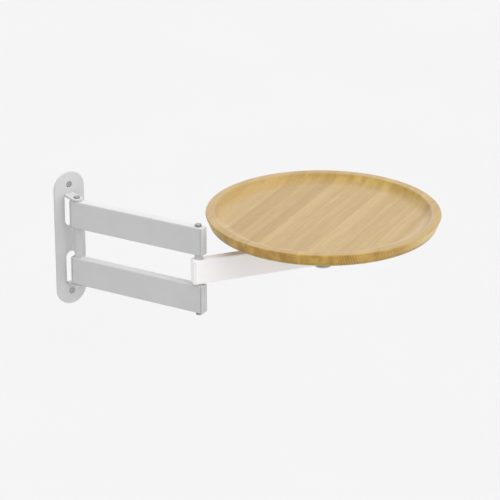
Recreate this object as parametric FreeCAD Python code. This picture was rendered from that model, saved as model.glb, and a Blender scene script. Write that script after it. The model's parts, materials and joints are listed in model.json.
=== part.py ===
import FreeCAD, Part
import math
import os
from FreeCAD import Vector

# Swing-arm wall table. A pressed wall plate holds a pair of tube arms on one long pin, a single
# tube arm turns between the outer ends of the pair, and a round wooden tray turns on its end.
# The origin is the middle of the plate's back face, +Z is up, the wall is the plane Y = 0 and the
# object lies on the -Y side. Lengths are in millimetres and angles in degrees.

# Pose at rest
first_arm_swing = 22.3  # first arm, from the wall's normal towards +X
elbow_bend = 52.0  # second arm, from the line of the first arm

# Arm tubes
first_arm_pitch = 182.0  # wall pin to elbow pin
arm_width = 12.4
first_arm_height = 37.5
second_arm_height = 33.0
tube_wall = 1.5
tube_corner_radius = 1.8
hole_land = 2.5  # metal between a pin hole and the cut end of its tube

# End plugs
plug_head_thickness = 2.2
plug_head_edge_radius = 0.8
plug_past_pin = 9.0
plug_clearance = 0.05
shadow_gap_width = 0.5  # groove between a tube's end and the plug's head
shadow_gap_depth = 0.8

# Hinge pins and what is threaded on them
pin_diameter = 6.0
pin_head_lip = 1.1  # head beyond the shank, all round
pin_head_edge_radius = 0.5
wall_pin_head_height = 2.0
elbow_pin_head_height = 3.0
wall_pin_cap_height = 1.6
elbow_pin_cap_height = 3.4
spindle_cap_height = 2.6
cap_end_thickness = 0.8
running_clearance = 0.05  # radial, between a pin and what turns on it
pin_hole_clearance = 0.3  # radial, between a pin and the tube's wall
sleeve_wall = 1.9
elbow_spacer_wall = 2.0
elbow_spacer_height = 6.0
elbow_washer_wall = 2.6
elbow_washer_thickness = 2.0
tab_washer_wall = 3.0
tab_washer_thickness = 0.6

# Wall plate
sheet_thickness = 2.5
plate_width = 45.5
plate_edge_radius = 0.5
plate_to_arm_clearance = 6.8  # plate to the sweep of an arm's corner
tab_width = 14.5
bend_radius = 1.5  # inside of the bend
slot_side_gap = 0.5
slot_inner_end = 18.0  # from the middle of the plate to a slot's round end
screw_hole_diameter = 5.0
countersink_diameter = 9.2  # at the plate's front, 90 degrees
screw_hole_from_tab = 12.9
screw_hole_from_end = 17.5

# Tray
tray_diameter = 300.0
tray_floor_thickness = 8.3
tray_well_depth = 9.2
tray_rim_width = 10.5  # outer edge to where the inner rounding starts
tray_rim_edge_radius = 1.5
tray_rim_inner_radius = 2.5
tray_cove_radius = 24.0  # wide sweep from the rim's inside to the floor
tray_side_lean = 22.0  # the side draws in towards the bottom
tray_bottom_edge_radius = 7.0
tray_to_elbow_clearance = 9.5  # tray's edge to the sweep of an arm's corner

# Tray spindle and its fixing
spindle_post_diameter = 16.0
spindle_post_height = 18.0
spindle_spigot_diameter = 10.0
spindle_washer_wall = 5.0
spindle_washer_thickness = 1.0
retaining_washer_diameter = 23.0
retaining_washer_thickness = 2.0
flange_thickness = 3.0
flange_edge_radius = 0.8
screw_from_post = 22.0  # post's side to a screw's axis
screw_from_flange_edge = 10.0
screw_count = 4
screw_diameter = 3.5
screw_head_diameter = 7.0
screw_tip_cover = 2.0  # wood left above a screw's point
screw_tip_length = 2.0
screw_recess_length = 3.8
screw_recess_width = 0.8
screw_recess_depth = 1.0
fixed_clearance = 0.03  # radial, between pieces that don't move on each other

# Derived sizes
pin_radius = pin_diameter / 2
pin_bore_radius = pin_radius + running_clearance
tube_hole_radius = pin_radius + pin_hole_clearance
arm_overhang = plug_head_thickness + shadow_gap_width + hole_land + tube_hole_radius
arm_corner_sweep = math.hypot(arm_overhang, arm_width / 2)
pin_standoff = arm_corner_sweep + plate_to_arm_clearance
between_arms = second_arm_height + elbow_spacer_height + elbow_washer_thickness
tray_radius = tray_diameter / 2
second_arm_pitch = tray_radius + tray_to_elbow_clearance + arm_corner_sweep
tray_height = tray_floor_thickness + tray_well_depth

# Heights
arm_inner_z = between_arms / 2
arm_outer_z = arm_inner_z + first_arm_height
arm_middle_z = arm_inner_z + first_arm_height / 2
tab_inner_z = arm_outer_z + tab_washer_thickness
tab_outer_z = tab_inner_z + sheet_thickness
screw_hole_z = tab_outer_z + screw_hole_from_tab
plate_half_height = screw_hole_z + screw_hole_from_end
second_arm_bottom_z = -arm_inner_z + elbow_washer_thickness
second_arm_top_z = second_arm_bottom_z + second_arm_height
second_arm_middle_z = (second_arm_bottom_z + second_arm_top_z) / 2
spindle_washer_top_z = second_arm_top_z + spindle_washer_thickness
flange_bottom_z = spindle_washer_top_z + spindle_post_height
tray_bottom_z = flange_bottom_z + flange_thickness
retaining_washer_bottom_z = second_arm_bottom_z - retaining_washer_thickness

# Hinge axes
up = Vector(0, 0, 1)
first_arm_angle = first_arm_swing - 90.0
second_arm_angle = first_arm_angle + elbow_bend


def along(start, length, angle):
    """Point at a distance from another one, at an angle in plan."""
    turn = math.radians(angle)
    return start + Vector(length * math.cos(turn), length * math.sin(turn), 0)


wall_axis = Vector(0, -sheet_thickness - pin_standoff, 0)
elbow_axis = along(wall_axis, first_arm_pitch, first_arm_angle)
tray_axis = along(elbow_axis, second_arm_pitch, second_arm_angle)


def post(radius, bottom, top, centre=Vector(0, 0, 0)):
    """Upright cylinder between two heights."""
    return Part.makeCylinder(radius, top - bottom, Vector(centre.x, centre.y, bottom), up)


def ring(outer_radius, bore_radius, bottom, top, centre):
    """Upright tube between two heights."""
    return post(outer_radius, bottom, top, centre).cut(post(bore_radius, bottom, top, centre))


def end_edges(shape, coordinate, value):
    """Edges that lie in one plane across an axis: the plane x, y or z = value."""
    tolerance = 1e-4
    found = []
    for edge in shape.Edges:
        places = [getattr(vertex, coordinate.upper()) for vertex in edge.Vertexes]
        if all(abs(place - value) < tolerance for place in places):
            found.append(edge)
    return found


def rounded_bar(x_start, x_end, width, height, radius):
    """Bar along X, centred on the axis, with its four long edges rounded."""
    bar = Part.makeBox(x_end - x_start, width, height, Vector(x_start, -width / 2, -height / 2))
    long_edges = [edge for edge in bar.Edges if edge.BoundBox.XLength > (x_end - x_start) / 2]
    return bar.makeFillet(radius, long_edges)


def placed_arm(shape, axis, angle, middle_z):
    """Put a piece drawn along X, with its first pin at the origin, on its hinge axis."""
    moved = shape.copy()
    moved.rotate(Vector(0, 0, 0), up, angle)
    moved.translate(Vector(axis.x, axis.y, middle_z))
    return moved


def inside(size):
    """Inner width or height of a tube."""
    return size - 2 * tube_wall


inner_corner_radius = max(tube_corner_radius - tube_wall, tube_wall / 5)


def arm_tube(pitch, height):
    """Tube with a pin hole near each end, through its top and bottom walls."""
    cut_end = arm_overhang - plug_head_thickness - shadow_gap_width
    outside = rounded_bar(-cut_end, pitch + cut_end, arm_width, height, tube_corner_radius)
    inner_width = inside(arm_width)
    inner_height = inside(height)
    hollow = rounded_bar(-cut_end, pitch + cut_end, inner_width, inner_height, inner_corner_radius)
    tube = outside.cut(hollow)
    for x in (0, pitch):
        tube = tube.cut(post(tube_hole_radius, -height, height, Vector(x, 0, 0)))
    return tube


def end_plug(height):
    """Plug for the start of a tube: a head as large as the tube, a collar, and a shank round the pin."""
    head_end = -arm_overhang
    collar_start = head_end + plug_head_thickness
    shank_start = collar_start + shadow_gap_width
    head = rounded_bar(head_end, collar_start, arm_width, height, tube_corner_radius)
    edge_radius = min(plug_head_edge_radius, tube_corner_radius / 2, plug_head_thickness / 2)
    head = head.makeFillet(edge_radius, end_edges(head, "x", head_end))
    collar_width = arm_width - 2 * shadow_gap_depth
    collar_height = height - 2 * shadow_gap_depth
    collar = rounded_bar(collar_start, shank_start, collar_width, collar_height, inner_corner_radius)
    shank_width = inside(arm_width) - 2 * plug_clearance
    shank_height = inside(height) - 2 * plug_clearance
    shank = rounded_bar(shank_start, plug_past_pin, shank_width, shank_height, inner_corner_radius)
    plug = head.fuse([collar, shank]).removeSplitter()
    return plug.cut(post(pin_bore_radius, -height, height))


def far_end_plug(pitch, height):
    """The same plug, turned round for the other end of a tube."""
    plug = end_plug(height)
    plug.rotate(Vector(0, 0, 0), up, 180)
    plug.translate(Vector(pitch, 0, 0))
    return plug


def headed_pin(axis, head_seat, head_height, cap_seat, cap_height):
    """Pin with a round head on top, reaching into the cap that closes its lower end."""
    head_radius = pin_radius + pin_head_lip
    head = post(head_radius, head_seat, head_seat + head_height, axis)
    head = head.makeFillet(pin_head_edge_radius, end_edges(head, "z", head_seat + head_height))
    shank_end = cap_seat - cap_height + cap_end_thickness
    shank = post(pin_radius, shank_end, head_seat, axis)
    return head.fuse(shank).removeSplitter()


def pin_cap(axis, seat, height):
    """Cap pressed on the lower end of a pin, closed below."""
    bottom = seat - height
    cap = post(pin_radius + pin_head_lip, bottom, seat, axis)
    cap = cap.makeFillet(pin_head_edge_radius, end_edges(cap, "z", bottom))
    return cap.cut(post(pin_radius + fixed_clearance, bottom + cap_end_thickness, seat, axis))


def outline(segments):
    """Face from a closed chain of lines and arcs."""
    return Part.Face(Part.Wire([segment.toShape() for segment in segments]))


def plate_blank():
    """Flat plate with round ends, its front edge broken all round."""
    end_radius = plate_width / 2
    straight = plate_half_height - end_radius
    top_left = Vector(-end_radius, 0, straight)
    top_right = Vector(end_radius, 0, straight)
    bottom_right = Vector(end_radius, 0, -straight)
    bottom_left = Vector(-end_radius, 0, -straight)
    face = outline([
        Part.Arc(top_left, Vector(0, 0, plate_half_height), top_right),
        Part.LineSegment(top_right, bottom_right),
        Part.Arc(bottom_right, Vector(0, 0, -plate_half_height), bottom_left),
        Part.LineSegment(bottom_left, top_left),
    ])
    blank = face.extrude(Vector(0, -sheet_thickness, 0))
    return blank.makeFillet(plate_edge_radius, end_edges(blank, "y", -sheet_thickness))


def tab_slot():
    """Opening that the upper tab leaves in the plate, from its round end up to the bend."""
    half_width = tab_width / 2 + slot_side_gap
    round_end_z = slot_inner_end + half_width
    bend_z = tab_outer_z + bend_radius
    through = Vector(0, -1, 0)
    rear = Vector(0, 0, round_end_z)
    depth = sheet_thickness
    round_end = Part.makeCylinder(half_width, depth, rear, through)
    corner = Vector(-half_width, -depth, round_end_z)
    straight = Part.makeBox(2 * half_width, depth, bend_z - round_end_z, corner)
    return round_end.fuse(straight)


def bent_tab():
    """Upper tab: a quarter bend out of the plate, then a flat ear with a round end about the pin."""
    outer_bend = bend_radius + sheet_thickness
    bend_z = tab_outer_z + bend_radius
    bend_y = -outer_bend
    tip_y = wall_axis.y - tab_width / 2
    half_turn = math.sqrt(0.5)
    plate_rear = Vector(0, 0, bend_z)
    plate_front = Vector(0, -sheet_thickness, bend_z)
    outer_middle = Vector(0, bend_y + outer_bend * half_turn, bend_z - outer_bend * half_turn)
    inner_middle = Vector(0, bend_y + bend_radius * half_turn, bend_z - bend_radius * half_turn)
    flat_below = Vector(0, bend_y, tab_inner_z)
    flat_above = Vector(0, bend_y, tab_outer_z)
    tip_below = Vector(0, tip_y, tab_inner_z)
    tip_above = Vector(0, tip_y, tab_outer_z)
    side = outline([
        Part.Arc(plate_rear, outer_middle, flat_below),
        Part.LineSegment(flat_below, tip_below),
        Part.LineSegment(tip_below, tip_above),
        Part.LineSegment(tip_above, flat_above),
        Part.Arc(flat_above, inner_middle, plate_front),
        Part.LineSegment(plate_front, plate_rear),
    ])
    strip = side.extrude(Vector(tab_width, 0, 0))
    strip.translate(Vector(-tab_width / 2, 0, 0))
    ear = post(tab_width / 2, tab_inner_z, bend_z, wall_axis)
    neck_corner = Vector(-tab_width / 2, wall_axis.y, tab_inner_z)
    neck = Part.makeBox(tab_width, -wall_axis.y, bend_z - tab_inner_z, neck_corner)
    tab = strip.common(ear.fuse(neck))
    return tab.cut(post(pin_radius + fixed_clearance, tab_inner_z, tab_outer_z, wall_axis))


def wall_plate():
    """Plate with its two slots, two tabs and two countersunk screw holes."""
    plate = plate_blank()
    below = (Vector(0, 0, 0), up)
    slot = tab_slot()
    tab = bent_tab()
    plate = plate.cut(slot).cut(slot.mirror(*below))
    plate = plate.fuse([tab, tab.mirror(*below)]).removeSplitter()
    hole_radius = screw_hole_diameter / 2
    sink_radius = countersink_diameter / 2
    sink_depth = sink_radius - hole_radius
    for z in (screw_hole_z, -screw_hole_z):
        front = Vector(0, -sheet_thickness, z)
        hole = Part.makeCylinder(hole_radius, sheet_thickness, front, Vector(0, 1, 0))
        sink = Part.makeCone(sink_radius, hole_radius, sink_depth, front, Vector(0, 1, 0))
        plate = plate.cut(hole.fuse(sink))
    return plate


def on_circle(centre, radius, angle):
    """Point on a circle in the XZ plane, its angle counted from +X towards +Z."""
    turn = math.radians(angle)
    return centre + Vector(radius * math.cos(turn), 0, radius * math.sin(turn))


def tray_section():
    """Half section of the tray in the XZ plane, about the Z axis, from its underside at Z = 0."""
    top = tray_height
    floor = tray_floor_thickness
    edge = tray_rim_edge_radius
    lip = tray_rim_inner_radius
    cove = tray_cove_radius
    foot = tray_bottom_edge_radius
    lean = tray_side_lean

    # Outside, from the rim down to the underside
    edge_centre = Vector(tray_radius - edge, 0, top - edge)
    rim_outer = on_circle(edge_centre, edge, 90)
    edge_middle = on_circle(edge_centre, edge, (90 - lean) / 2)
    side_top = on_circle(edge_centre, edge, -lean)
    side_foot_z = foot - foot * math.sin(math.radians(lean))
    side_foot_x = side_top.x - (side_top.z - side_foot_z) * math.tan(math.radians(lean))
    side_foot = Vector(side_foot_x, 0, side_foot_z)
    foot_centre = Vector(side_foot_x - foot * math.cos(math.radians(lean)), 0, foot)
    foot_middle = on_circle(foot_centre, foot, -(90 + lean) / 2)
    foot_inner = on_circle(foot_centre, foot, -90)

    # Inside, from the rim down to the floor: the lip runs straight into the cove
    between = cove + lip
    turn = math.degrees(math.acos((between - tray_well_depth) / between))
    lip_centre = Vector(tray_radius - tray_rim_width, 0, top - lip)
    cove_centre = on_circle(lip_centre, between, 90 + turn)
    rim_inner = on_circle(lip_centre, lip, 90)
    lip_middle = on_circle(lip_centre, lip, 90 + turn / 2)
    cove_top = on_circle(lip_centre, lip, 90 + turn)
    cove_middle = on_circle(cove_centre, cove, -90 + turn / 2)
    floor_edge = on_circle(cove_centre, cove, -90)
    middle_floor = Vector(0, 0, floor)
    middle_bottom = Vector(0, 0, 0)
    return outline([
        Part.LineSegment(middle_bottom, foot_inner),
        Part.Arc(foot_inner, foot_middle, side_foot),
        Part.LineSegment(side_foot, side_top),
        Part.Arc(side_top, edge_middle, rim_outer),
        Part.LineSegment(rim_outer, rim_inner),
        Part.Arc(rim_inner, lip_middle, cove_top),
        Part.Arc(cove_top, cove_middle, floor_edge),
        Part.LineSegment(floor_edge, middle_floor),
        Part.LineSegment(middle_floor, middle_bottom),
    ])


screw_circle_radius = spindle_post_diameter / 2 + screw_from_post
flange_radius = screw_circle_radius + screw_from_flange_edge


def screw_places():
    """Screw axes on a circle round the spindle, the first one along the second arm."""
    step = 360.0 / screw_count
    angles = [second_arm_angle + step * i for i in range(screw_count)]
    return [along(tray_axis, screw_circle_radius, angle) for angle in angles]


def screw_body(place, clearance):
    """Countersunk screw without its recess, pointing up from the flange's underside."""
    shank_radius = screw_diameter / 2 + clearance
    head_radius = screw_head_diameter / 2 + clearance
    head_height = head_radius - shank_radius
    point_z = tray_bottom_z + tray_floor_thickness - screw_tip_cover
    tip_z = point_z - screw_tip_length
    seat = Vector(place.x, place.y, flange_bottom_z)
    head = Part.makeCone(head_radius, shank_radius, head_height, seat, up)
    shank = post(shank_radius, flange_bottom_z, tip_z, place)
    tip = Part.makeCone(shank_radius, 0, screw_tip_length, Vector(place.x, place.y, tip_z), up)
    return head.fuse([shank, tip]).removeSplitter()


def recessed_screw(place):
    """Countersunk screw with a cross recess in its head."""
    screw = screw_body(place, 0)
    long, short = screw_recess_length, screw_recess_width
    for x_size, y_size in ((long, short), (short, long)):
        corner = Vector(place.x - x_size / 2, place.y - y_size / 2, flange_bottom_z)
        screw = screw.cut(Part.makeBox(x_size, y_size, screw_recess_depth, corner))
    return screw


def tray():
    """Round tray turned from a glued panel, with pilot holes in its underside."""
    blank = tray_section().revolve(Vector(0, 0, 0), up, 360)
    body = Part.Solid(blank) if blank.ShapeType == "Shell" else blank
    body.translate(Vector(tray_axis.x, tray_axis.y, tray_bottom_z))
    for place in screw_places():
        body = body.cut(screw_body(place, fixed_clearance))
    return body


def tray_flange():
    """Round flange under the tray, with a hole for the spindle's spigot and countersunk screw holes."""
    disc = post(flange_radius, flange_bottom_z, tray_bottom_z, tray_axis)
    disc = disc.makeFillet(flange_edge_radius, end_edges(disc, "z", flange_bottom_z))
    spigot_hole_radius = spindle_spigot_diameter / 2 + fixed_clearance
    disc = disc.cut(post(spigot_hole_radius, flange_bottom_z, tray_bottom_z, tray_axis))
    for place in screw_places():
        disc = disc.cut(screw_body(place, fixed_clearance))
    return disc


def tray_spindle():
    """Turned spindle: a spigot in the flange, a thick post, and a pin through the second arm."""
    spigot = post(spindle_spigot_diameter / 2, flange_bottom_z, tray_bottom_z, tray_axis)
    shoulder = post(spindle_post_diameter / 2, spindle_washer_top_z, flange_bottom_z, tray_axis)
    pin_end = retaining_washer_bottom_z - spindle_cap_height + cap_end_thickness
    pin = post(pin_radius, pin_end, spindle_washer_top_z, tray_axis)
    return shoulder.fuse([spigot, pin]).removeSplitter()


pieces = {}

# Wall bracket
pieces["wall_plate"] = wall_plate()
pieces["wall_pin"] = headed_pin(
    wall_axis, tab_outer_z, wall_pin_head_height, -tab_outer_z, wall_pin_cap_height)
pieces["wall_pin_cap"] = pin_cap(wall_axis, -tab_outer_z, wall_pin_cap_height)
tab_washer_radius = pin_bore_radius + tab_washer_wall
pieces["tab_washers"] = Part.makeCompound([
    ring(tab_washer_radius, pin_bore_radius, arm_outer_z, tab_inner_z, wall_axis),
    ring(tab_washer_radius, pin_bore_radius, -tab_inner_z, -arm_outer_z, wall_axis),
])

# First arm: the pair of tubes, their plugs, the sleeve between them and the elbow pin
for name, middle_z in (("upper", arm_middle_z), ("lower", -arm_middle_z)):
    tube = arm_tube(first_arm_pitch, first_arm_height)
    wall_plug = end_plug(first_arm_height)
    elbow_plug = far_end_plug(first_arm_pitch, first_arm_height)
    pieces[name + "_arm_tube"] = placed_arm(tube, wall_axis, first_arm_angle, middle_z)
    pieces[name + "_arm_wall_plug"] = placed_arm(wall_plug, wall_axis, first_arm_angle, middle_z)
    pieces[name + "_arm_elbow_plug"] = placed_arm(elbow_plug, wall_axis, first_arm_angle, middle_z)
sleeve_radius = pin_bore_radius + sleeve_wall
pieces["wall_spacer_sleeve"] = ring(sleeve_radius, pin_bore_radius, -arm_inner_z, arm_inner_z, wall_axis)
pieces["elbow_pin"] = headed_pin(
    elbow_axis, arm_outer_z, elbow_pin_head_height, -arm_outer_z, elbow_pin_cap_height)
pieces["elbow_pin_cap"] = pin_cap(elbow_axis, -arm_outer_z, elbow_pin_cap_height)
spacer_radius = pin_bore_radius + elbow_spacer_wall
pieces["elbow_spacer"] = ring(spacer_radius, pin_bore_radius, second_arm_top_z, arm_inner_z, elbow_axis)
washer_radius = pin_bore_radius + elbow_washer_wall
pieces["elbow_washer"] = ring(
    washer_radius, pin_bore_radius, -arm_inner_z, second_arm_bottom_z, elbow_axis)

# Second arm
for name, shape in (
    ("second_arm_tube", arm_tube(second_arm_pitch, second_arm_height)),
    ("second_arm_elbow_plug", end_plug(second_arm_height)),
    ("second_arm_tray_plug", far_end_plug(second_arm_pitch, second_arm_height)),
):
    pieces[name] = placed_arm(shape, elbow_axis, second_arm_angle, second_arm_middle_z)

# Tray and its swivel
spindle_washer_radius = pin_bore_radius + spindle_washer_wall
pieces["spindle_washer"] = ring(
    spindle_washer_radius, pin_bore_radius, second_arm_top_z, spindle_washer_top_z, tray_axis)
retaining_radius = retaining_washer_diameter / 2
pieces["retaining_washer"] = ring(
    retaining_radius, pin_bore_radius, retaining_washer_bottom_z, second_arm_bottom_z, tray_axis)
pieces["spindle_cap"] = pin_cap(tray_axis, retaining_washer_bottom_z, spindle_cap_height)
pieces["tray_spindle"] = tray_spindle()
pieces["tray_flange"] = tray_flange()
pieces["tray_screws"] = Part.makeCompound([recessed_screw(place) for place in screw_places()])
pieces["tray"] = tray()

os.makedirs("parts", exist_ok=True)
for name, shape in pieces.items():
    shape.exportStep("parts/" + name + ".step")
    print(name, "solids", len(shape.Solids), "valid", shape.isValid(), "volume", round(shape.Volume, 1))
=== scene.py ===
import json
import math

import bmesh
import bpy
from mathutils import Matrix, Vector


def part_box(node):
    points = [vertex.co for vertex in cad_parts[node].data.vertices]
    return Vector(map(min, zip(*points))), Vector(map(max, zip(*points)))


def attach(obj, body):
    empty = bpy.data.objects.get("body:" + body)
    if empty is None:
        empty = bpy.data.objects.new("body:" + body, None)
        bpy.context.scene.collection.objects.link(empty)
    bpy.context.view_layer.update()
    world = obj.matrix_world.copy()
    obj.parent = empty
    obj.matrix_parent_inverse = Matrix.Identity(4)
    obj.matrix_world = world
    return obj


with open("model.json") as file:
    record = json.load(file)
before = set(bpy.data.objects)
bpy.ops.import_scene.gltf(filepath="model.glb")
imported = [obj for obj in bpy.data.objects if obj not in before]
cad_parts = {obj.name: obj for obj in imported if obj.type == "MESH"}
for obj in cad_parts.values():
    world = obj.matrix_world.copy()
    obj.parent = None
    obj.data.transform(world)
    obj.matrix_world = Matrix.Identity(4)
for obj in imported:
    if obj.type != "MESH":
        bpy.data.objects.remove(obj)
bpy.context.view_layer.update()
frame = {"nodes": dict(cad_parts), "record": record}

# Wall plate. One pressed piece of 2.5 mm steel sheet with round ends, its two tabs bent out of the
# slots behind them. It is sprayed with a light grey satin powder coat, which keeps a fine orange peel.

nodes = frame["nodes"]
MM = 0.001
GREY_PAINT = (0.567, 0.567, 0.57)
PAINT_CLOUD = 40 * MM
PAINT_SPECK = 0.5 * MM
ORANGE_PEEL = 1.4 * MM
ORANGE_PEEL_DEPTH = 0.04 * MM
PAINT_GLOSS = 0.15
PAINT_ROUGHNESS = (0.4, 0.52)


def new_finish(name):
    """Material with one shader, and its node tree."""
    finish = bpy.data.materials.new(name)
    finish.use_nodes = True
    return finish, finish.node_tree, finish.node_tree.nodes["Principled BSDF"]


def add(tree, kind, inputs=None, **settings):
    """Shader node of one kind. An input takes a plain value or the output of another node."""
    made = tree.nodes.new(kind)
    for name, value in settings.items():
        setattr(made, name, value)
    for name, value in (inputs or {}).items():
        if isinstance(value, bpy.types.NodeSocket):
            tree.links.new(value, made.inputs[name])
        else:
            made.inputs[name].default_value = value
    return made


def place_on_piece(tree, middle=(0, 0, 0), turn=0.0):
    """Coordinates in metres that move with the piece, about a point of it and turned in plan."""
    where = add(tree, "ShaderNodeTexCoord").outputs["Object"]
    centred = add(tree, "ShaderNodeVectorMath", {0: where, 1: middle}, operation="SUBTRACT").outputs[0]
    return add(tree, "ShaderNodeMapping", {"Vector": centred, "Rotation": (0, 0, -turn)}).outputs[0]


def grain_noise(tree, place, size, detail=3.0, roughness=0.5):
    """Noise with features of about one size, in metres."""
    made = add(tree, "ShaderNodeTexNoise", {
        "Vector": place, "Scale": 1 / size, "Detail": detail, "Roughness": roughness})
    return made.outputs["Fac"]


def mapped(tree, value, low=0.0, high=1.0, to_low=0.0, to_high=1.0):
    """Value mapped from one range to another and held at the ends."""
    made = add(tree, "ShaderNodeMapRange", {
        "Value": value, "From Min": low, "From Max": high, "To Min": to_low, "To Max": to_high})
    return made.outputs["Result"]


def shades(tree, value, *stops):
    """Colour ramp: each stop is a place from 0 to 1 and a linear colour."""
    made = add(tree, "ShaderNodeValToRGB", {"Fac": value})
    ramp = made.color_ramp
    while len(ramp.elements) < len(stops):
        ramp.elements.new(0.5)
    for element, (at, colour) in zip(ramp.elements, stops):
        element.position = at
        element.color = (*colour, 1)
    return made.outputs["Color"]


def shaded(colour, share):
    """A colour made lighter or darker by a share."""
    return tuple(min(c * share, 1) for c in colour)


def raised(tree, height, depth, strength=1.0, under=None):
    """Bump of one depth in metres, on top of another bump if one is given."""
    inputs = {"Height": height, "Distance": depth, "Strength": strength}
    if under is not None:
        inputs["Normal"] = under
    return add(tree, "ShaderNodeBump", inputs).outputs["Normal"]


def powder_coat(name, paint):
    """Satin powder coat: faint cloudiness, fine speckle and the ripple of orange peel."""
    finish, tree, shader = new_finish(name)
    place = place_on_piece(tree)
    cloud = grain_noise(tree, place, PAINT_CLOUD)
    speck = grain_noise(tree, place, PAINT_SPECK, detail=2.0)
    tone = add(tree, "ShaderNodeMath", {0: cloud, 1: speck}, operation="MULTIPLY").outputs[0]
    colour = shades(tree, tone, (0.1, shaded(paint, 0.96)), (0.4, shaded(paint, 1.03)))
    tree.links.new(colour, shader.inputs["Base Color"])
    tree.links.new(mapped(tree, speck, 0, 1, *PAINT_ROUGHNESS), shader.inputs["Roughness"])
    shader.inputs["Specular IOR Level"].default_value = PAINT_GLOSS
    ripple = grain_noise(tree, place, ORANGE_PEEL, detail=1.0)
    tree.links.new(raised(tree, ripple, ORANGE_PEEL_DEPTH), shader.inputs["Normal"])
    return finish


def dress(names, finish):
    """Give CAD nodes one finish."""
    for name in names:
        nodes[name].material_slots[0].material = finish


grey_coat = powder_coat("grey_powder_coat", GREY_PAINT)
dress(["wall_plate"], grey_coat)

# Wall screws. Two countersunk steel screws with a cross recess and a dull finish, with painted shade
# round the head's edge, driven into the wall through the plate until their heads lie just under its face.

PLATE_THICKNESS = 2.5 * MM
HEAD_UNDER_FACE = 0.6 * MM
HEAD_RADIUS = 3.95 * MM
SHANK_RADIUS = 1.75 * MM
SCREW_LENGTH = 15 * MM
THREAD_PITCH = 1.8 * MM
THREAD_HEIGHT = 0.5 * MM
CREST_WIDTH = 0.22
POINT_LENGTH = 4 * MM
POINT_CURVE = 0.6
POINT_RADIUS = 0.02 * MM
RECESS_ARM = 1.7 * MM
RECESS_WIDTH = 0.8 * MM
RECESS_DEPTH = 1.2 * MM
RECESS_TAPER = 0.55
TIP_ABOVE_FACE = 0.2 * MM
DULL_STEEL = (0.56, 0.56, 0.565)
# Painted shade: the screw heads darken outside this middle, to this colour at their edge.
HEAD_UNSHADED_MIDDLE = 2.5 * MM
PAINTED_EDGE_SHADE = (0.5, 0.5, 0.5)
EDGE_SHADE_FADE = 1.15
STEEL_BLOOM = 1.2 * MM
STEEL_ROUGHNESS = (0.3, 0.48)
LATHE_MARK_SCALE = 700.0
LATHE_MARK_DEPTH = 0.01 * MM
SCREW_SIDES = 48
SCREW_ROWS = 180
SHARP_EDGE = 35
WALL_SCREWS = (("upper_wall_screw", 1, 20), ("lower_wall_screw", -1, 63))


def mixed(tree, share, one, two, way="MIX"):
    """Two colours mixed in one way, the second by a share."""
    made = add(tree, "ShaderNodeMix", {0: share, 6: one, 7: two}, data_type="RGBA", blend_type=way)
    return made.outputs[2]


def tinted(tree, colour, tint, share=1.0):
    """A colour multiplied by another, in full or in part."""
    return mixed(tree, share, colour, tint, "MULTIPLY")


def scaled(tree, place, shares):
    """Coordinates multiplied by a share along each axis."""
    return add(tree, "ShaderNodeVectorMath", {0: place, 1: shares}, operation="MULTIPLY").outputs[0]


def off_axis(tree, place, about="Z"):
    """Distance from the axis that the piece was turned about."""
    flat = scaled(tree, place, (1, 1, 0) if about == "Z" else (1, 0, 1))
    return add(tree, "ShaderNodeVectorMath", {0: flat}, operation="LENGTH").outputs["Value"]


def turned_steel(name, middle, steel, about="Z", shade_from=1.0):
    """Dull steel with lathe marks about an axis through a point, with painted shade outside an unshaded
    middle.
    """
    finish, tree, shader = new_finish(name)
    place = place_on_piece(tree, middle)
    rings = add(tree, "ShaderNodeTexWave", {
        "Vector": place, "Scale": LATHE_MARK_SCALE, "Distortion": 0.6, "Detail": 1.0},
        wave_type="RINGS", rings_direction=about).outputs["Fac"]
    bloom = grain_noise(tree, place, STEEL_BLOOM, detail=4.0)
    # Painted shade: the colour darkens from the unshaded middle out to the edge of the head.
    edge = mapped(tree, off_axis(tree, place, about), shade_from, shade_from * EDGE_SHADE_FADE)
    colour = shades(tree, bloom, (0.3, shaded(steel, 0.8)), (0.7, steel))
    colour = tinted(tree, colour, shades(tree, edge, (0.0, (1, 1, 1)), (1.0, PAINTED_EDGE_SHADE)))
    tree.links.new(colour, shader.inputs["Base Color"])
    tree.links.new(mapped(tree, bloom, 0, 1, *STEEL_ROUGHNESS), shader.inputs["Roughness"])
    shader.inputs["Metallic"].default_value = 1.0
    tree.links.new(raised(tree, rings, LATHE_MARK_DEPTH, 0.5), shader.inputs["Normal"])
    return finish


def screw_profile(along, turn):
    """Radius of the screw at a distance behind its head's face, in the direction of one turn."""
    cone = HEAD_RADIUS - along
    to_point = max(SCREW_LENGTH - along, 0) / POINT_LENGTH
    core = SHANK_RADIUS * min(to_point ** POINT_CURVE, 1)
    wave = (along / THREAD_PITCH - turn / (2 * math.pi)) % 1
    crest = max(1 - abs(wave - 0.5) / CREST_WIDTH, 0)
    threaded = core + THREAD_HEIGHT * crest * min(to_point, 1)
    return max(cone, threaded, POINT_RADIUS)


def screw_mesh():
    """Head, threaded shank and point in one skin, along +Y from the head's face at Y = 0."""
    shape = bmesh.new()
    rows = []
    for step in range(SCREW_ROWS + 1):
        y = SCREW_LENGTH * step / SCREW_ROWS
        row = []
        for k in range(SCREW_SIDES):
            turn = 2 * math.pi * k / SCREW_SIDES
            radius = screw_profile(y, turn)
            row.append(shape.verts.new((radius * math.cos(turn), y, radius * math.sin(turn))))
        rows.append(row)
    for one, two in zip(rows, rows[1:]):
        for k in range(SCREW_SIDES):
            shape.faces.new((one[k], two[k], two[k - 1], one[k - 1]))
    shape.faces.new(rows[0])
    shape.faces.new(list(reversed(rows[-1])))
    bmesh.ops.recalc_face_normals(shape, faces=shape.faces)
    mesh = bpy.data.meshes.new("wall_screw")
    shape.to_mesh(mesh)
    shape.free()
    return mesh


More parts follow.
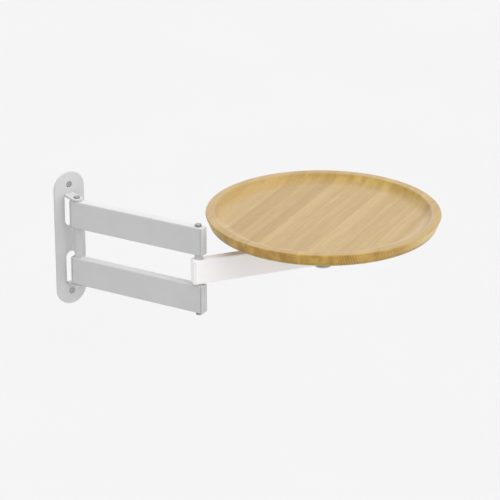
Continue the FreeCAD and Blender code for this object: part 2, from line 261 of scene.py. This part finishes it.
def cross_mesh():
    """Cross-shaped driver tip that narrows with its depth, to cut the recess with."""
    half, arm = RECESS_WIDTH / 2, RECESS_ARM
    corners = [(half, half), (half, arm), (-half, arm), (-half, half), (-arm, half), (-arm, -half),
               (-half, -half), (-half, -arm), (half, -arm), (half, -half), (arm, -half), (arm, half)]
    shape = bmesh.new()
    outer = [shape.verts.new((x, -TIP_ABOVE_FACE, z)) for x, z in corners]
    inner = [shape.verts.new((x * RECESS_TAPER, RECESS_DEPTH, z * RECESS_TAPER)) for x, z in corners]
    shape.faces.new(outer)
    shape.faces.new(list(reversed(inner)))
    for k in range(len(corners)):
        shape.faces.new((outer[k], inner[k], inner[k - 1], outer[k - 1]))
    bmesh.ops.recalc_face_normals(shape, faces=shape.faces)
    mesh = bpy.data.meshes.new("driver_tip")
    shape.to_mesh(mesh)
    shape.free()
    return mesh


def put_in_scene(name, mesh):
    """Object that shows a mesh."""
    piece = bpy.data.objects.new(name, mesh)
    bpy.context.scene.collection.objects.link(piece)
    return piece


def cut_with(piece, tool):
    """Cut a tool's shape out of a piece for good, and put the tool away."""
    cut = piece.modifiers.new("cut", "BOOLEAN")
    cut.object = tool
    cut.operation = "DIFFERENCE"
    cut.solver = "EXACT"
    seen = bpy.context.evaluated_depsgraph_get()
    piece.data = bpy.data.meshes.new_from_object(piece.evaluated_get(seen))
    piece.modifiers.clear()
    bpy.data.objects.remove(tool)


def soften(piece, angle):
    """Smooth shading, with an edge kept wherever faces meet at more than an angle."""
    piece.data.shade_smooth()
    piece.data.set_sharp_from_angle(angle=math.radians(angle))


record = frame["record"]
screw_mount = [mount for mount in record["mounts"] if mount["name"] == "wall_screws"][0]
screw_height = screw_mount["dims"]["spacing_y_mm"] / 2 * MM
for name, side, turn in WALL_SCREWS:
    screw = put_in_scene(name, screw_mesh())
    cut_with(screw, put_in_scene("driver_tip", cross_mesh()))
    soften(screw, SHARP_EDGE)
    place = Vector((0, HEAD_UNDER_FACE - PLATE_THICKNESS, side * screw_height))
    screw.data.transform(Matrix.Translation(place) @ Matrix.Rotation(math.radians(turn), 4, "Y"))
    steel = turned_steel(name + "_steel", place, DULL_STEEL, "Y", HEAD_UNSHADED_MIDDLE)
    screw.data.materials.append(steel)
    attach(screw, "wall_bracket")

# Wall pin and its cap. A turned steel pin drops through both tabs from above, and its lower end is
# closed by a pressed cap. Dull zinc plating, with painted shade at the edges and turning marks on the
# faces.

ZINC = (0.64, 0.64, 0.65)
# Painted shade darkens the pin heads outside this middle.
PIN_UNSHADED_MIDDLE = 3.1 * MM


def middle_of(name):
    """Middle of a CAD node's box."""
    low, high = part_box(name)
    return (Vector(low) + Vector(high)) / 2


dress(["wall_pin", "wall_pin_cap"],
      turned_steel("wall_pin_zinc", middle_of("wall_pin"), ZINC, shade_from=PIN_UNSHADED_MIDDLE))

# Tab washers. Thin punched rings of grey nylon on the wall pin, which keep the arms off the tabs
# and let them turn without scraping the paint.

GREY_NYLON = (0.55, 0.55, 0.55)
MOULD_FLOW = 20 * MM
MOULD_PIT = 0.45 * MM
MOULD_PIT_DEPTH = 0.03 * MM
MOULD_ROUGHNESS = (0.42, 0.58)


def moulded_plastic(name, colour):
    """Satin moulded plastic with the fine texture of its mould."""
    finish, tree, shader = new_finish(name)
    place = place_on_piece(tree)
    flow = grain_noise(tree, place, MOULD_FLOW)
    pit = grain_noise(tree, place, MOULD_PIT, detail=2.0)
    tone = shades(tree, flow, (0.3, shaded(colour, 0.96)), (0.7, colour))
    tree.links.new(tone, shader.inputs["Base Color"])
    tree.links.new(mapped(tree, pit, 0, 1, *MOULD_ROUGHNESS), shader.inputs["Roughness"])
    shader.inputs["Specular IOR Level"].default_value = PAINT_GLOSS
    tree.links.new(raised(tree, pit, MOULD_PIT_DEPTH), shader.inputs["Normal"])
    return finish


grey_nylon = moulded_plastic("grey_nylon", GREY_NYLON)
dress(["tab_washers"], grey_nylon)

# First arm. An equal pair of rectangular steel tubes, one above the other, drilled for the pins
# and sprayed in the plate's light grey powder coat.

dress(["upper_arm_tube", "lower_arm_tube"], grey_coat)

# End plugs of the first arm. Moulded in the tubes' grey, pushed into each end up to a collar that
# leaves a fine shadow gap, and held there by the hinge pins.

PLUG_SHADE = 0.98
grey_plug = moulded_plastic("grey_plug", shaded(GREY_PAINT, PLUG_SHADE))
dress(["upper_arm_wall_plug", "upper_arm_elbow_plug", "lower_arm_wall_plug", "lower_arm_elbow_plug"],
      grey_plug)

# Spacer sleeve. A plain tube moulded in the same grey, threaded on the wall pin between the two arms,
# which it holds apart.

dress(["wall_spacer_sleeve"], grey_plug)

# Elbow pin with its cap, spacer and washer. The pin is turned steel like the wall pin. The taller
# spacer above the second arm and the thin washer below it are grey nylon.

dress(["elbow_pin", "elbow_pin_cap"],
      turned_steel("elbow_pin_zinc", middle_of("elbow_pin"), ZINC, shade_from=PIN_UNSHADED_MIDDLE))
dress(["elbow_spacer", "elbow_washer"], grey_nylon)

# Second arm. A single tube of the same width that turns between the pair, in a warm white powder
# coat, with white plugs in its ends.

WARM_WHITE = (0.945, 0.925, 0.932)
dress(["second_arm_tube"], powder_coat("white_powder_coat", WARM_WHITE))
white_plug = moulded_plastic("white_plug", shaded(WARM_WHITE, PLUG_SHADE))
dress(["second_arm_elbow_plug", "second_arm_tray_plug"], white_plug)

# Tray swivel. A turned steel spindle stands on a nylon washer on the arm, is held from below by a
# wide washer and a pressed cap, and carries a flange that four countersunk screws hold to the tray.

# The spindle's parts and the wide washer are darkened zinc: painted shade for the shadow under the tray.
SPINDLE_PAINTED_SHADE = 0.5
WASHER_PAINTED_SHADE = 0.75
spindle_zinc = turned_steel("spindle_zinc", middle_of("tray_spindle"), shaded(ZINC, SPINDLE_PAINTED_SHADE))
dress(["tray_spindle", "spindle_cap", "tray_flange", "tray_screws"], spindle_zinc)
washer_zinc = turned_steel("washer_zinc", middle_of("retaining_washer"), shaded(ZINC, WASHER_PAINTED_SHADE))
dress(["retaining_washer"], washer_zinc)
dress(["spindle_washer"], grey_nylon)

# Tray. Five boards glued edge to edge, turned to a dish with a raised rim and a wide cove inside,
# sanded fine and finished with clear satin oil. The boards' ends show round the rim. The cove's
# slopes carry painted light: painted shade, deep golden, where they face one way, more so at one end
# of the boards, and a painted pale sheen where they face the other way.

BOARD_TURN = math.radians(27)
BOARD_SPAN = 150 * MM
BOARD_JOINTS = (-94 * MM, -28 * MM, 40 * MM, 94 * MM)
BOARD_SHARES = ((0.92, 0.93, 0.985), (0.945, 0.935, 1.0), (0.925, 0.93, 0.99), (0.85, 0.9, 0.85),
                (0.955, 0.95, 0.93))
STRIPE = 20 * MM
GLUE_LINE = 0.8 * MM
GLUE_TONE = 0.94
TONE_WARMTH = (1.0, 1.15, 1.25)
RING_WIDTH = 2.6 * MM
RING_STRETCH = (0.05, 1, 0.3)
RING_WAVINESS = 5.0
END_LINE_STRETCH = (0.02, 1, 0.1)
END_LINE_WAVINESS = 1.0
WAVE_PERIOD = 0.314
FIBRE_WIDTH = 0.9 * MM
FIBRE_STRETCH = (0.02, 1, 0.5)
STREAK_WIDTH = 9 * MM
FIGURE_WIDTH = 3 * MM
FIGURE_STRETCH = (1, 0.35, 1)
PATCH_WIDTH = 14 * MM
FIBRE_DEPTH = 0.04 * MM
OIL_GLOSS = 0.2
OIL_ROUGHNESS = (0.3, 0.42)
SIDE_FROM = 146 * MM
FACE_GRAIN = (0.483, 0.353, 0.182)
# Painted golden shade and painted pale sheen on the cove's slopes, set by the way they face.
GOLDEN_COVE_SHADE = (0.47, 0.325, 0.122)
PALE_COVE_SHEEN = (0.62, 0.485, 0.315)
# End grain of the cove at one end of the boards, its deep golden partly painted shade.
COVE_END_GRAIN_SHADE = (0.53, 0.378, 0.102)
COVE_SHADE_FACING = (-0.86, -0.51, 0.0)
COVE_SHADE_LEAN = (-0.3, 0.5)
COVE_UNEVENNESS = 0.2
COVE_END_SHADE_FACING = (-0.33, -0.69)
END_GRAIN_FACING = (0.15, 0.75)
SIDE_STEEPNESS = (0.55, 0.15)
SIDE_GRAIN = (0.71, 0.565, 0.245)
SIDE_HALF_GRAIN = (0.61, 0.39, 0.125)
SIDE_END_GRAIN = (0.645, 0.405, 0.11)
UNTINTED = (1, 1, 1)
DARK_STREAK = (0.895, 0.875, 0.885)
PALE_STREAK = (1, 1, 0.985)
DARK_FIBRE = (0.95, 0.945, 0.93)
DARK_FIGURE = (0.96, 0.955, 0.945)
DARK_RING = (0.97, 0.965, 0.95)
END_RING = (0.93, 0.91, 0.86)
DARK_END_RING = (0.62, 0.54, 0.38)
DARK_END_STREAK = (0.84, 0.78, 0.66)


def board_tones(tree, across):
    """Colour across the glued panel: each board has its tone, another at each edge, and a glue line."""
    stops = []
    edges = [-BOARD_SPAN, *BOARD_JOINTS, BOARD_SPAN]
    for low, high, (first, middle, last) in zip(edges, edges[1:], BOARD_SHARES):
        if stops:
            stops.append((low, first * GLUE_TONE))
        stops += [(low + GLUE_LINE, first), (low + STRIPE, middle), (high - STRIPE, middle),
                  (high - STRIPE / 2, last), (high - GLUE_LINE, last)]
    ramp = []
    for at, tone in stops:
        ramp.append(((at + BOARD_SPAN) / (2 * BOARD_SPAN), tuple(tone ** power for power in TONE_WARMTH)))
    return shades(tree, mapped(tree, across, -BOARD_SPAN, BOARD_SPAN), *ramp)


def growth_rings(tree, place, stretch, waviness):
    """Bands of growth rings across the boards, each sharp at its late side."""
    made = add(tree, "ShaderNodeTexWave", {
        "Vector": scaled(tree, place, stretch), "Scale": WAVE_PERIOD / RING_WIDTH,
        "Distortion": waviness, "Detail": 2.0, "Detail Scale": 0.5},
        wave_type="BANDS", bands_direction="Y", wave_profile="SAW")
    return made.outputs["Fac"]


def oiled_boards():
    """Oiled boards with straight grain: growth rings on edge, fine fibres, faint figure and end grain."""
    finish, tree, shader = new_finish("oiled_boards")
    place = place_on_piece(tree, middle_of("tray"), BOARD_TURN)
    across = add(tree, "ShaderNodeSeparateXYZ", {0: place}).outputs["Y"]

    rings = growth_rings(tree, place, RING_STRETCH, RING_WAVINESS)
    end_lines = growth_rings(tree, place, END_LINE_STRETCH, END_LINE_WAVINESS)
    along_fibres = scaled(tree, place, FIBRE_STRETCH)
    fibre = grain_noise(tree, along_fibres, FIBRE_WIDTH, detail=4.0)
    streak = grain_noise(tree, along_fibres, STREAK_WIDTH, detail=4.0, roughness=0.6)
    figure = grain_noise(tree, scaled(tree, place, FIGURE_STRETCH), FIGURE_WIDTH, detail=2.0)
    patch = grain_noise(tree, place, PATCH_WIDTH, detail=1.0)

    normal = add(tree, "ShaderNodeTexCoord").outputs["Normal"]
    facing = add(tree, "ShaderNodeMapping", {"Vector": normal, "Rotation": (0, 0, -BOARD_TURN)}).outputs[0]
    # Painted light on the cove: how far each face leans towards one fixed direction, broken up by the
    # fibres.
    shade_lean = add(tree, "ShaderNodeVectorMath", {
        0: facing, 1: COVE_SHADE_FACING}, operation="DOT_PRODUCT").outputs["Value"]
    uneven = mapped(tree, fibre, to_low=-COVE_UNEVENNESS, to_high=COVE_UNEVENNESS)
    shade_lean = add(tree, "ShaderNodeMath", {0: shade_lean, 1: uneven}, operation="ADD").outputs[0]
    facing = add(tree, "ShaderNodeSeparateXYZ", {0: facing}).outputs
    along = add(tree, "ShaderNodeMath", {0: facing["X"]}, operation="ABSOLUTE").outputs[0]
    end_grain = mapped(tree, along, *END_GRAIN_FACING)

    # Painted pale sheen where a face leans away, face grain in between, painted golden shade where it
    # leans towards.
    face = shades(tree, mapped(tree, shade_lean, *COVE_SHADE_LEAN),
                  (0.1875, PALE_COVE_SHEEN), (0.375, FACE_GRAIN), (0.7, GOLDEN_COVE_SHADE))
    # End grain on the cove at one end of the boards only; its deep golden tone is partly painted shade.
    face = mixed(tree, mapped(tree, facing["X"], *COVE_END_SHADE_FACING), face, (*COVE_END_GRAIN_SHADE, 1))
    side = shades(tree, end_grain, (0.0, SIDE_GRAIN), (0.4, SIDE_HALF_GRAIN), (1.0, SIDE_END_GRAIN))
    outside = add(tree, "ShaderNodeMath", {
        0: off_axis(tree, place), 1: SIDE_FROM}, operation="GREATER_THAN").outputs[0]
    colour = mixed(tree, mapped(tree, facing["Z"], *SIDE_STEEPNESS, to_high=outside), face, side)

    colour = tinted(tree, colour, board_tones(tree, across))
    colour = tinted(tree, colour, shades(tree, streak, (0.35, DARK_STREAK), (0.65, PALE_STREAK)))
    colour = tinted(tree, colour, shades(tree, fibre, (0.3, DARK_FIBRE), (0.7, UNTINTED)))
    colour = tinted(tree, colour, shades(tree, rings, (0.0, UNTINTED), (1.0, DARK_RING)))
    colour = tinted(tree, colour, shades(tree, figure, (0.35, DARK_FIGURE), (0.6, UNTINTED)))
    end_rings = shades(tree, end_lines, (0.0, UNTINTED), (0.6, END_RING), (1.0, DARK_END_RING))
    patch = mapped(tree, patch, 0.4, 0.6, to_low=0.15)
    patch = add(tree, "ShaderNodeMath", {0: patch, 1: end_grain}, operation="MULTIPLY").outputs[0]
    colour = tinted(tree, colour, end_rings, patch)
    end_streak = shades(tree, streak, (0.35, DARK_END_STREAK), (0.6, UNTINTED))
    colour = tinted(tree, colour, end_streak, end_grain)

    tree.links.new(colour, shader.inputs["Base Color"])
    tree.links.new(mapped(tree, fibre, 0, 1, *OIL_ROUGHNESS), shader.inputs["Roughness"])
    shader.inputs["Specular IOR Level"].default_value = OIL_GLOSS
    tree.links.new(raised(tree, fibre, FIBRE_DEPTH), shader.inputs["Normal"])
    return finish


dress(["tray"], oiled_boards())

# Studio. A plain pale floor well below the part, a camera where the photograph was taken from, two
# wide soft lights, one overhead and a weaker one from the right, and an even pale sky.

FLOOR_BELOW = 1.1
FLOOR_WIDTH = 60
FLOOR_GREY = 0.587
FLOOR_CLOUD = 0.5
FLOOR_SHADE = 0.004
bpy.ops.mesh.primitive_plane_add(size=FLOOR_WIDTH, location=(0, 0, -FLOOR_BELOW))
floor = bpy.context.object
floor.name = "studio_floor"
floor_finish, floor_tree, floor_shader = new_finish("pale_floor")
floor_cloud = grain_noise(floor_tree, place_on_piece(floor_tree), FLOOR_CLOUD)
floor_colour = shades(floor_tree, floor_cloud,
                      (0.2, (FLOOR_GREY - FLOOR_SHADE,) * 3), (0.8, (FLOOR_GREY + FLOOR_SHADE,) * 3))
floor_tree.links.new(floor_colour, floor_shader.inputs["Base Color"])
floor_shader.inputs["Roughness"].default_value = 1.0
floor_shader.inputs["Specular IOR Level"].default_value = 0.0
floor.data.materials.append(floor_finish)


def direction(azimuth, elevation):
    """Unit vector towards a point of the sky: azimuth 0 is the room's side of the wall, in degrees."""
    turn, rise = math.radians(azimuth), math.radians(elevation)
    return Vector((math.sin(turn) * math.cos(rise), -math.cos(turn) * math.cos(rise), math.sin(rise)))


CAMERA_AZIMUTH = -37.571
CAMERA_ELEVATION = 22.216
CAMERA_DISTANCE = 3.04714
CAMERA_AIM = Vector((0.15947, -0.17637, -0.00031))
CAMERA_LENS = 171.238
toward_camera = direction(CAMERA_AZIMUTH, CAMERA_ELEVATION)
camera_data = bpy.data.cameras.new("photo_camera")
camera_data.lens = CAMERA_LENS
camera_data.clip_end = 100
camera = bpy.data.objects.new("photo_camera", camera_data)
camera.location = CAMERA_AIM + toward_camera * CAMERA_DISTANCE
camera.rotation_euler = toward_camera.to_track_quat("Z", "Y").to_euler()
bpy.context.scene.collection.objects.link(camera)
bpy.context.scene.camera = camera

LIGHT_SPREAD = 80
SOFT_LIGHTS = (
    ("overhead_light", 0, 90, 2.1),
    ("right_light", 75, 28, 1.5),
)
for name, from_camera, rise, strength in SOFT_LIGHTS:
    light_data = bpy.data.lights.new(name, "SUN")
    light_data.energy = strength
    light_data.angle = math.radians(LIGHT_SPREAD)
    light = bpy.data.objects.new(name, light_data)
    toward_light = direction(CAMERA_AZIMUTH + from_camera, rise)
    light.rotation_euler = toward_light.to_track_quat("Z", "Y").to_euler()
    bpy.context.scene.collection.objects.link(light)

SKY_GLOW = 0.66
sky = bpy.data.worlds.new("pale_sky")
sky.use_nodes = True
sky.node_tree.nodes["Background"].inputs["Color"].default_value = (1, 1, 1, 1)
sky.node_tree.nodes["Background"].inputs["Strength"].default_value = SKY_GLOW
bpy.context.scene.world = sky
bpy.context.scene.view_settings.view_transform = "Standard"
